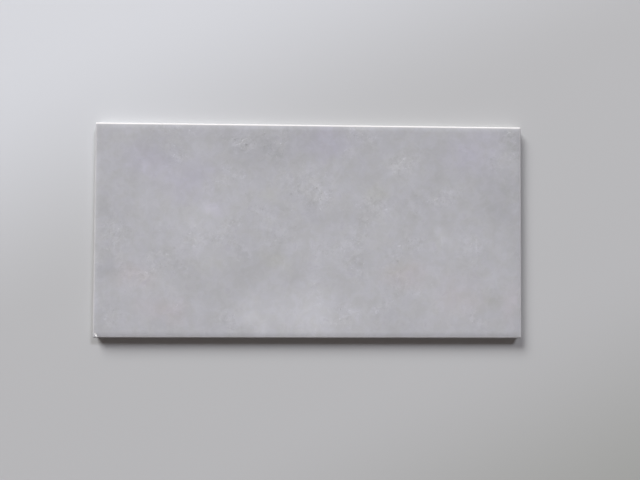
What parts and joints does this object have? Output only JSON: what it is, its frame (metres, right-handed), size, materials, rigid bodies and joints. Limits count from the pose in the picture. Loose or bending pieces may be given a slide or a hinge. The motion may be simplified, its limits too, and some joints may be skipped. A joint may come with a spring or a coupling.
{
  "type": "wall tile",
  "caption": "Rectangular glazed ceramic wall tile with a cushioned edge and keying pockets in its back, for bedding on a wall.",
  "frame": {"origin": "middle of the back, on the plane that the tile lies on", "axes": "+Z out of the glazed face, +X along the length, +Y across the width towards the top of the picture"},
  "size_m": [0.4, 0.2, 0.008],
  "materials": {
    "glazed_body": "satin"
  },
  "bodies": {
    "root": {"wall_tile": "glazed_body"}
  },
  "joints": []
}
